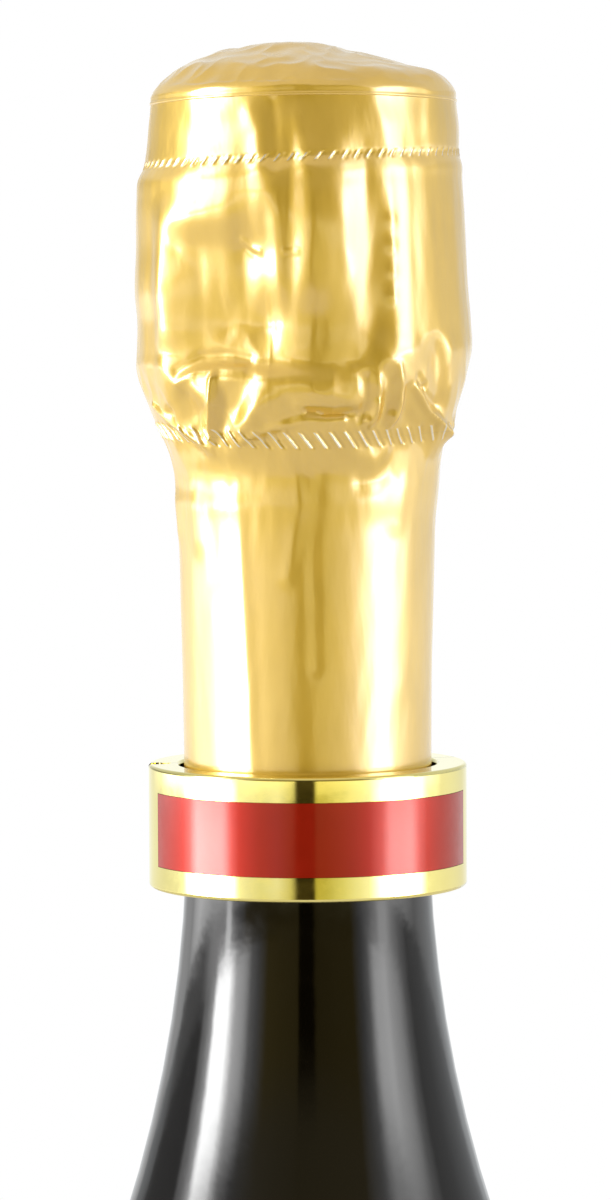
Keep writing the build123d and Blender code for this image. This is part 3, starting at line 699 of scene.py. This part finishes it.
foil_gold = foil_material()
collar_gold = polished_material("collar_gold", (0.97, 0.88, 0.36), (0.93, 0.82, 0.30), 0.045)
pin_metal = polished_material("pin_metal", (0.90, 0.80, 0.34), (0.80, 0.70, 0.28), 0.12)
plaque_metal = polished_material("plaque_metal", (0.78, 0.60, 0.22), (0.66, 0.49, 0.16), 0.18)
dark_glass = glass_material()
red_enamel = enamel_material()
wire_steel = wire_material()
cork_grain = cork_material("cork_grain", (0.60, 0.42, 0.24), (0.42, 0.26, 0.13), 420)
cork_plain = cork_material("cork_disc_grain", (0.66, 0.47, 0.28), (0.54, 0.36, 0.20), 190)
front_paper = paper_material("label_paper_front", 1, 41.1, 112.0)
back_paper = paper_material("label_paper_back", -1, 26.1, 94.0)
wine_gold = wine_material()

for node, look in {
    "bottle_glass": dark_glass, "wine": wine_gold, "front_label": front_paper, "back_label": back_paper,
    "cork_body": cork_grain, "cork_disc_upper": cork_plain, "cork_disc_lower": cork_plain,
    "cage_top_ring": wire_steel, "cage_plaque": plaque_metal, "collar_front": collar_gold,
    "collar_back": collar_gold, "collar_hinge_pin": pin_metal, "collar_catch": pin_metal,
    "enamel_panel": red_enamel,
}.items():
    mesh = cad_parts[node].data
    mesh.materials.clear()
    mesh.materials.append(look)

# ---------------------------------------------------------------- foil pieces
TEAR_PLAY = 0.004  # half the gap between two foil pieces at a perforation
SEAM_PLAY = 0.2  # how far the skirt goes on under the disc's seam
SLEEVE_FOOT, TEAR_LOWER, TEAR_UPPER, SKIRT_TOP = 231.95, 277.4, 308.7, 315.55
SKIRT_WALL, SLEEVE_WALL, DISC_WALL = 0.08, 0.06, 0.1
DOME_TOP, DOME_START, DOME_ROWS = 321.9, 0.25, 64  # height, first row's place in the table, rows


def band(name, top, foot, rows, wall):
    """A foil piece between two lines round the bottle."""
    share = (rows - rows[-1]) / (rows[0] - rows[-1])
    z = foot[None, :] + (top - foot)[None, :] * share[:, None]
    return foil_shell(name, foil_at(z), z, wall, foil_gold)


upper, lower, rim = upper_line(map_az), lower_line(map_az), rim_line(map_az) + SEAM_PLAY
skirt = band("foil_skirt_gold", rim, upper + TEAR_PLAY,
             spaced(TEAR_UPPER, SKIRT_TOP, [TEAR_UPPER], fine=0.13, coarse=0.4, reach=0.9), SKIRT_WALL)
tear = band("foil_band_gold", upper - TEAR_PLAY, lower + TEAR_PLAY,
            spaced(TEAR_LOWER, TEAR_UPPER, [TEAR_UPPER, TEAR_LOWER], fine=0.14, coarse=0.3, reach=1.1), SKIRT_WALL)
sleeve = band("foil_sleeve_gold", lower - TEAR_PLAY, np.full(COLUMNS, SLEEVE_FOOT),
              spaced(SLEEVE_FOOT, TEAR_LOWER, [TEAR_LOWER], fine=0.14, coarse=0.42, reach=1.1), SLEEVE_WALL)


def dome_grid():
    """Radius and height over the columns for the rows of the top disc, from its crown to its seam."""
    t = np.linspace(DOME_START, len(DOME_TABLE) - 1, DOME_ROWS)
    z, left, right = [hermite(t, np.arange(len(DOME_TABLE)), column)[:, None] for column in DOME_TABLE.T]
    r = (left + right) / 2 + (right - left) / 2 * np.sin(np.radians(map_az))[None, :]
    z = np.repeat(z, COLUMNS, 1)
    # The disc's edge is turned over the skirt: offsets from the edge and heights from the seam
    lip = [(0.02, 0.20), (0.10, 0.10), (0.13, -0.02), (0.09, -0.14), (-0.02, -0.2)]
    edge = foil_at(rim[None, :])[0]
    dome_foot = DOME_TABLE[-1, 0]
    low = smooth(-z, -318.2, -dome_foot)
    z = z + low * (rim_line(map_az) + 0.32 - dome_foot)
    r = r * (1 - low) + low * np.minimum(r, edge + 0.01)
    for out, height in lip:
        r = np.vstack([r, edge + out])
        z = np.vstack([z, rim_line(map_az) + height])
    a = np.radians(map_az)[None, :]
    x, y = r * np.sin(a), -r * np.cos(a)
    draw = np.random.default_rng(12)

    def ripples(count, spread):
        """Seeded waves across the disc."""
        out = np.zeros_like(z)
        for _ in range(count):
            k1, k2 = draw.normal(0, spread, 2)
            out += np.cos(k1 * x + k2 * y + draw.uniform(0, 6.28)) / count**0.5
        return out

    soft = ripples(26, 0.42)
    fold = ripples(18, 0.75)
    z = z + (0.16 * soft - 0.16 * np.abs(fold)) * window(r, (1.5, 5.0), (16.4, 17.2))
    # A low swelling at the right of the rim
    z += 0.25 * np.exp(-((x - 14.2) ** 2 + (y + 6) ** 2) / 6.0) * (1 - smooth(r, 16.6, 17.3))
    return r, np.minimum(z, DOME_TOP)


r, z = dome_grid()
disc = foil_shell("foil_disc_gold", r, z, DISC_WALL, foil_gold, pole=float(np.mean(z[0])))

for piece, node, body in (
    (disc, "foil_top_disc", "hood"), (skirt, "foil_upper_skirt", "hood"), (tear, "foil_tear_band", "hood"),
    (sleeve, "foil_sleeve", "bottle"),
):
    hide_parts(node)
    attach(piece, body)

# ---------------------------------------------------------------- wires
WIRE_SIDES, OVERLAP = 12, 3
LEG_WIRE, CORD_WIRE, SHANK_WIRE = 0.37, 0.25, 0.34  # radii of the strands
LEG_TURNS, BELT_TURNS, LOOP_TURNS, SHANK_TURNS = 17, 40, 14, 0.5
BELT_HEIGHT, BELT_RADIUS = 281.4, 15.05
LEG_AZ, LEG_BEND = (7, 97, 187, 277), 1.2
LEG_START, LEG_CORNER, LEG_END = (12.65, 318.09), (16.10, 316.68), (16.75, 281.8)  # radius, height
LOOP_AZ, LOOP_DISTANCE, LOOP_HALF, LOOP_HEIGHT = 52.0, 16.5, 3.3, 9.4
SHANK_START = 15.9


def sweep_tube(points, radius):
    """Rings of points round a path; the path's own frame is carried along it."""
    p = np.asarray(points, float)
    tangent = np.gradient(p, axis=0)
    tangent /= np.linalg.norm(tangent, axis=1)[:, None]
    side = np.cross(tangent[0], (0.31, 0.57, 0.76))
    a = np.linspace(0, 2 * math.pi, WIRE_SIDES, endpoint=False)
    rings = []
    for q, t in zip(p, tangent):
        side = side - t * np.dot(side, t)
        side /= np.linalg.norm(side)
        other = np.cross(t, side)
        rings.append(q + radius * (np.cos(a)[:, None] * side + np.sin(a)[:, None] * other))
    return np.vstack(rings)


def tube_faces(first, rings, closed):
    """The faces between the rings, with caps on an open tube."""
    faces, sides = [], WIRE_SIDES
    for i in range(rings if closed else rings - 1):
        for k in range(sides):
            a, b = first + i * sides + k, first + i * sides + (k + 1) % sides
            c, d = [first + ((i + 1) % rings) * sides + v for v in (k, (k + 1) % sides)]
            faces.append((a, b, d, c))
    if not closed:
        faces.append(tuple(first + k for k in range(sides))[::-1])
        faces.append(tuple(first + (rings - 1) * sides + k for k in range(sides)))
    return faces


def strand_paths(points, offset, turns, closed):
    """Two strands twisted round a path."""
    p = np.asarray(points, float)
    tangent = np.roll(p, -1, 0) - np.roll(p, 1, 0) if closed else np.gradient(p, axis=0)
    tangent /= np.linalg.norm(tangent, axis=1)[:, None]
    length = np.concatenate([[0], np.cumsum(np.linalg.norm(np.diff(p, axis=0), axis=1))])
    total = length[-1] + (np.linalg.norm(p[0] - p[-1]) if closed else 0)
    start = np.array((0.0, 0.0, 1.0)) if closed else np.cross(tangent[0], (0.2, 0.9, 0.4))
    out = []
    for phase in (0, math.pi):
        side, strand = start.copy(), []
        for q, t, s in zip(p, tangent, length):
            side = side - t * np.dot(side, t)
            side /= np.linalg.norm(side)
            other = np.cross(t, side)
            a = phase + 2 * math.pi * turns * s / total
            strand.append(q + offset * (math.cos(a) * side + math.sin(a) * other))
        out.append(np.array(strand))
    return out


def twisted(name, *cords):
    """A mesh of twisted cords: (points, radius of a strand, turns, whether it closes)."""
    verts, faces, first = [], [], 0
    for points, radius, turns, closed in cords:
        for strand in strand_paths(points, radius, turns, closed):
            if closed:
                wide = np.vstack([strand[-OVERLAP:], strand, strand[:OVERLAP]])
                rings = sweep_tube(wide, radius)[OVERLAP * WIRE_SIDES:-OVERLAP * WIRE_SIDES]
            else:
                rings = sweep_tube(strand, radius)
            verts.append(rings)
            faces += tube_faces(first, len(strand), closed)
            first += len(rings)
    return make_mesh(name, np.vstack(verts), faces, wire_steel)


def leg_path(azimuth):
    """Out over the plaque's rim and down beside the glass, round a bend."""
    a, b, c = [np.array(point) for point in (LEG_START, LEG_CORNER, LEG_END)]
    u, v = (a - b) / np.linalg.norm(a - b), (c - b) / np.linalg.norm(c - b)
    turn = math.acos(np.dot(u, v))
    reach = LEG_BEND / math.tan(turn / 2)
    start, end = b + u * reach, b + v * reach
    centre = b + (u + v) / np.linalg.norm(u + v) * LEG_BEND / math.sin(turn / 2)
    t0, t1 = [math.atan2(*(p - centre)[::-1]) for p in (start, end)]
    line = [a + (start - a) * k for k in np.linspace(0, 1, 12)]
    line += [centre + LEG_BEND * np.array((math.cos(t), math.sin(t))) for t in np.linspace(t0, t1, 12)[1:-1]]
    line += [end + (c - end) * k for k in np.linspace(0, 1, 110)]
    line = np.array(line)
    return at(np.full(len(line), azimuth), line[:, 0], line[:, 1])


for number, azimuth in enumerate(LEG_AZ, 1):
    leg = twisted(f"twisted_leg_{number}", (leg_path(azimuth), LEG_WIRE, LEG_TURNS, False))
    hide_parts(f"cage_leg_{number}")
    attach(leg, "cage")

belt_az = np.linspace(-180, 180, 360, endpoint=False)
belt_path = at(belt_az, np.full(len(belt_az), BELT_RADIUS), BELT_HEIGHT)
belt = twisted("twisted_belt", (belt_path, CORD_WIRE, BELT_TURNS, True))
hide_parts("cage_belt")
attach(belt, "cage")


def loop_paths():
    """The ring of the loop, and the shank that holds it to the belt."""
    azimuth, half = math.radians(LOOP_AZ), LOOP_HALF
    top = LOOP_HEIGHT - 4 * CORD_WIRE - half
    ring = [(half, v) for v in np.linspace(half, top, 10)[:-1]]
    ring += [(half * math.cos(t), top + half * math.sin(t)) for t in np.linspace(0, math.pi, 40)]
    ring += [(-half, v) for v in np.linspace(top, half, 10)[1:-1]]
    ring += [(half * math.cos(t), half + half * math.sin(t)) for t in np.linspace(math.pi, 2 * math.pi, 40)[:-1]]
    out = np.array((math.sin(azimuth), -math.cos(azimuth), 0))
    across = np.array((math.cos(azimuth), math.sin(azimuth), 0))
    ring = [out * LOOP_DISTANCE + across * u + np.array((0, 0, BELT_HEIGHT + v)) for u, v in ring]
    shank = [out * d + np.array((0, 0, BELT_HEIGHT)) for d in np.linspace(SHANK_START, LOOP_DISTANCE, 8)]
    return ring, shank


ring, shank = loop_paths()
loop = twisted("twisted_loop", (ring, CORD_WIRE, LOOP_TURNS, True), (shank, SHANK_WIRE, SHANK_TURNS, False))
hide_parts("cage_loop")
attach(loop, "loop")

# ---------------------------------------------------------------- stage, light and camera
FLOOR_RADIUS, FLOOR_SIDES = 850.0, 128


def plain_floor():
    turns = [2 * math.pi * k / FLOOR_SIDES for k in range(FLOOR_SIDES)]
    verts = [(0.0, 0.0, 0.0)] + [(FLOOR_RADIUS * math.sin(a), FLOOR_RADIUS * math.cos(a), 0.0) for a in turns]
    faces = [(0, 1 + (k + 1) % FLOOR_SIDES, 1 + k) for k in range(FLOOR_SIDES)]
    t = new_tree("floor_pale")
    look = t.shade(Base_Color=t.ramp(t.noise(6), (0.3, (0.81, 0.80, 0.775)), (0.7, (0.84, 0.83, 0.805))),
                   Roughness=0.7)
    floor = make_mesh("floor", verts, faces, look)


plain_floor()

# Light of the studio all round, one ramp for each level: azimuth in degrees, strength, tint. The camera sees
# them mirrored in upright faces: HIGH in the upper skirt, ROOM in the tear band, MIDDLE in the sleeve, TABLE in
# the collar and GROUND in the glass below it, and SKY and OVERHEAD in the dome.
WARM, NEUTRAL, COOL = (1.0, 0.76, 0.24), (1.0, 1.0, 1.0), (0.95, 0.98, 1.0)
HIGH = [
    (-180, 1.10, COOL), (-148, 0.36, COOL), (-128, 0.22, NEUTRAL), (-104, 0.30, NEUTRAL), (-95, 1.8, NEUTRAL),
    (-90, 4.0, NEUTRAL), (-86, 18.0, NEUTRAL), (-73, 18.0, NEUTRAL), (-67, 6.0, NEUTRAL), (-58, 4.2, NEUTRAL),
    (-51, 1.6, NEUTRAL), (-45, 0.8, NEUTRAL), (-37, 0.40, WARM), (-10, 0.28, WARM), (-8, 0.02, WARM),
    (4.5, 0.02, WARM), (6.5, 0.22, WARM), (40, 0.28, WARM), (48, 0.55, NEUTRAL), (54, 1.2, NEUTRAL),
    (60, 5.0, NEUTRAL), (70, 5.5, NEUTRAL), (84, 3.0, NEUTRAL), (92, 1.1, NEUTRAL), (100, 0.45, NEUTRAL),
    (148, 0.60, COOL), (180, 1.10, COOL),
]
ROOM = [
    (-180, 1.10, COOL), (-148, 0.60, COOL), (-128, 0.42, NEUTRAL), (-108, 0.6, NEUTRAL), (-101, 1.5, NEUTRAL),
    (-94, 2.4, NEUTRAL), (-82, 2.6, NEUTRAL), (-80, 7.0, NEUTRAL), (-76, 7.0, NEUTRAL), (-74, 1.8, NEUTRAL),
    (-70, 0.9, NEUTRAL), (-65, 0.5, NEUTRAL), (-59, 0.22, WARM), (-36, 0.20, WARM), (-10, 0.22, WARM),
    (-8, 0.02, WARM), (4.5, 0.02, WARM), (6.5, 0.18, WARM), (40, 0.24, WARM), (48, 0.50, NEUTRAL),
    (56, 1.2, NEUTRAL), (63, 2.4, NEUTRAL), (67, 4.0, NEUTRAL), (76, 4.0, NEUTRAL), (82, 2.2, NEUTRAL),
    (89, 1.2, NEUTRAL), (99, 0.45, NEUTRAL), (148, 0.60, COOL), (180, 1.10, COOL),
]
TABLE = [
    (-180, 1.05, COOL), (-128, 0.85, NEUTRAL), (-110, 0.9, NEUTRAL), (-102, 1.2, NEUTRAL), (-95, 5.0, NEUTRAL),
    (-87, 21.0, NEUTRAL), (-64, 21.0, NEUTRAL), (-57, 5.0, NEUTRAL), (-51, 1.1, NEUTRAL), (-44, 0.90, NEUTRAL),
    (-34, 0.82, (1, 1, 0.82)), (-22, 0.90, (1, 1, 0.98)), (-13, 0.66, (1, 0.94, 0.55)), (-8, 0.03, WARM),
    (4.0, 0.03, WARM), (6.0, 0.53, (1, 0.87, 0.20)), (13, 0.53, (1, 0.90, 0.25)), (25, 0.75, (1, 0.96, 0.50)),
    (37, 0.95, (1, 1, 0.85)), (45, 1.1, NEUTRAL), (55, 4.0, NEUTRAL), (62, 13.5, NEUTRAL), (80, 13.5, NEUTRAL),
    (88, 4.0, NEUTRAL), (96, 1.0, (1, 1, 0.9)), (118, 0.90, (1, 0.98, 0.90)), (148, 0.85, NEUTRAL),
    (180, 1.05, COOL),
]
MIDDLE = [
    (-180, 1.10, COOL), (-150, 0.9, NEUTRAL), (-132, 1.4, NEUTRAL), (-118, 4.0, NEUTRAL), (-88, 4.5, NEUTRAL),
    (-65, 4.2, NEUTRAL), (-60, 1.9, NEUTRAL), (-54, 1.2, NEUTRAL), (-44, 1.75, (1, 0.96, 0.78)),
    (-24, 1.50, (1, 0.93, 0.60)), (-10, 1.30, (1, 0.91, 0.50)), (-8, 0.08, WARM), (4.5, 0.08, WARM),
    (6.5, 1.40, (1, 0.89, 0.42)), (40, 1.5, (1, 0.93, 0.60)), (46, 1.6, NEUTRAL), (56, 2.4, NEUTRAL),
    (63, 3.4, NEUTRAL), (84, 3.4, NEUTRAL), (100, 2.2, NEUTRAL), (112, 1.0, NEUTRAL), (148, 0.85, COOL),
    (180, 1.10, COOL),
]
SKY = [
    (-180, 0.80, COOL), (-118, 0.50, NEUTRAL), (-95, 0.8, NEUTRAL), (-86, 6.5, NEUTRAL), (-75, 6.5, NEUTRAL),
    (-68, 1.3, NEUTRAL), (-58, 0.50, NEUTRAL), (-40, 0.34, (1, 0.86, 0.55)), (-8, 0.26, (1, 0.82, 0.42)),
    (40, 0.30, (1, 0.82, 0.42)), (54, 0.8, NEUTRAL), (62, 2.4, NEUTRAL), (80, 2.4, NEUTRAL), (90, 0.8, NEUTRAL),
    (110, 0.60, NEUTRAL), (180, 0.80, COOL),
]
GROUND = [
    (-180, 0.90, COOL), (-118, 1.1, NEUTRAL), (-100, 1.4, NEUTRAL), (-64, 1.4, NEUTRAL),
    (-52, 1.1, (1, 0.96, 0.80)), (-38, 0.78, (1, 0.90, 0.46)), (-10, 0.64, (1, 0.86, 0.30)), (-8, 0.12, WARM),
    (4.5, 0.12, WARM), (6.5, 0.62, (1, 0.86, 0.28)), (38, 0.76, (1, 0.90, 0.46)), (50, 1.1, (1, 0.96, 0.80)),
    (62, 1.7, NEUTRAL), (84, 1.7, NEUTRAL), (104, 1.1, NEUTRAL), (148, 0.85, COOL), (180, 0.90, COOL),
]
OVERHEAD = (0.66, 0.59, 0.46)  # one colour, all round
# Levels that take over from ROOM in turn, each between two sines of the ray's elevation
LEVELS = (
    (HIGH, 0.008, 0.035), (MIDDLE, -0.030, -0.045), (TABLE, -0.098, -0.104), (SKY, 0.16, 0.30),
    (OVERHEAD, 0.52, 0.78), (GROUND, -0.119, -0.145),
)
PEAK = 40.0  # the strength that a ramp's colour of 1 stands for


def studio_world():
    """Soft boxes round the bottle, as a world; the camera and rays through glass see plain white."""
    world = bpy.data.worlds.new("studio")
    bpy.context.scene.world = world
    t = Tree(world)
    t.nodes.clear()
    x, y, up = t.axes("Generated")
    share = t.fit(t.maths("ARCTAN2", x, t.maths("MULTIPLY", y, -1.0)), -math.pi, math.pi, 0.0, 1.0)

    def all_round(light):
        return t.ramp(share, *(((az + 180) / 360, [c * level / PEAK for c in tint]) for az, level, tint in light))

    colour = all_round(ROOM)
    for light, start, end in LEVELS:
        other = (*(c / PEAK for c in light), 1) if light is OVERHEAD else all_round(light)
        ends = (start, end, 0.0, 1.0) if start < end else (end, start, 1.0, 0.0)
        colour = t.mixed(t.fit(up, *ends, "SMOOTHSTEP"), colour, other)
    studio = t.put("ShaderNodeBackground", {"Color": colour, "Strength": PEAK})
    white = t.put("ShaderNodeBackground", {"Color": (1, 1, 1, 1), "Strength": 1.0})
    path = t.nodes.new("ShaderNodeLightPath").outputs
    seen = t.maths("MAXIMUM", path["Is Camera Ray"], path["Is Transmission Ray"])
    mix = t.put("ShaderNodeMixShader", {0: seen, 1: studio.outputs[0], 2: white.outputs[0]})
    t.put("ShaderNodeOutputWorld", {0: mix.outputs[0]})


studio_world()

EYE, AIM = (-0.00015, -0.585, 0.297), (-0.00015, 0.0, 0.2586)
LENS, SENSOR, ROLL = 154.0, 36.0, 0.28  # millimetres, millimetres, degrees


def photo_camera():
    data = bpy.data.cameras.new("photo_view")
    data.lens, data.sensor_width, data.sensor_fit = LENS, SENSOR, "AUTO"
    data.clip_start, data.clip_end = 0.01, 20.0
    camera = bpy.data.objects.new("photo_view", data)
    bpy.context.scene.collection.objects.link(camera)
    forward = (Vector(AIM) - Vector(EYE)).normalized()
    right = forward.cross(Vector((0, 0, 1))).normalized()
    right = Matrix.Rotation(math.radians(ROLL), 3, forward) @ right
    up = right.cross(forward)
    m = Matrix((right, up, -forward)).transposed().to_4x4()
    m.translation = EYE
    camera.matrix_world = m
    bpy.context.scene.camera = camera


photo_camera()
bpy.context.scene.view_settings.view_transform = "Standard"
